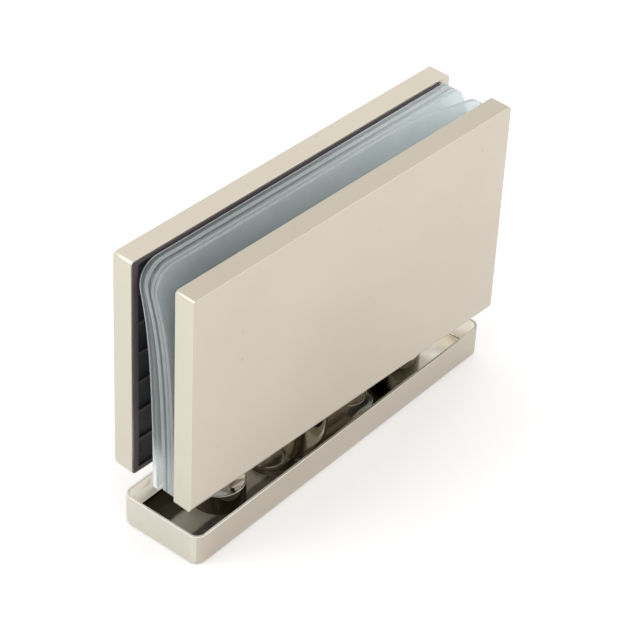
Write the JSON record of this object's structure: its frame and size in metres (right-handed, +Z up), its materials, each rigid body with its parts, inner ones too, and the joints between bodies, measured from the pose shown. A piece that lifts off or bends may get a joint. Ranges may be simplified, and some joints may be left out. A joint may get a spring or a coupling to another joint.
{
  "type": "floor-to-glass hinge",
  "caption": "Floor-mounted centre-pivot glass door hinge: plate clamp on a spindle over a low open base, with loose gaskets.",
  "frame": {"origin": "middle of the base's underside, on the spindle's axis, at floor level", "axes": "+X along the base, +Z up along the spindle, -Y towards the blank plate"},
  "size_m": [0.0908, 0.025, 0.0651],
  "materials": {
    "satin_nickel": "fine brushed warm nickel",
    "polished_nickel": "bright polished",
    "zinc_steel": "plain plated steel",
    "bearing_brass": "turned",
    "black_pad": "moulded, slight sheen",
    "dark_plastic": "smooth",
    "clear_sheet": "translucent, glossy"
  },
  "bodies": {
    "base": {"base_tray": "satin_nickel", "fixing_collar_left": "polished_nickel", "fixing_collar_right": "polished_nickel", "pivot_foot": "polished_nickel", "foot_rivets": "polished_nickel", "pivot_spindle": "polished_nickel", "thrust_washer": "dark_plastic", "retaining_washer": "zinc_steel", "retaining_screw": "zinc_steel"},
    "clamp": {"front_plate": "satin_nickel", "back_plate": "satin_nickel", "front_pad": "black_pad", "back_pad": "black_pad", "pivot_block": "satin_nickel", "lower_bush": "bearing_brass", "upper_bush": "bearing_brass", "detent_plunger_left": "zinc_steel", "detent_plunger_right": "zinc_steel", "detent_spring_left": "zinc_steel", "detent_spring_right": "zinc_steel", "adjuster_screw_left": "zinc_steel", "adjuster_screw_right": "zinc_steel", "plate_screws": "zinc_steel", "gasket_sheet_1": "clear_sheet", "gasket_sheet_2": "clear_sheet", "gasket_sheet_3": "clear_sheet", "gasket_sheet_4": "clear_sheet"}
  },
  "joints": [
    {"name": "door_swing", "type": "hinge", "parent": "base", "child": "clamp", "pos_m": [0, 0, 0], "axis": [0, 0, 1], "range_deg": [-87.35, 92.65]}
  ]
}
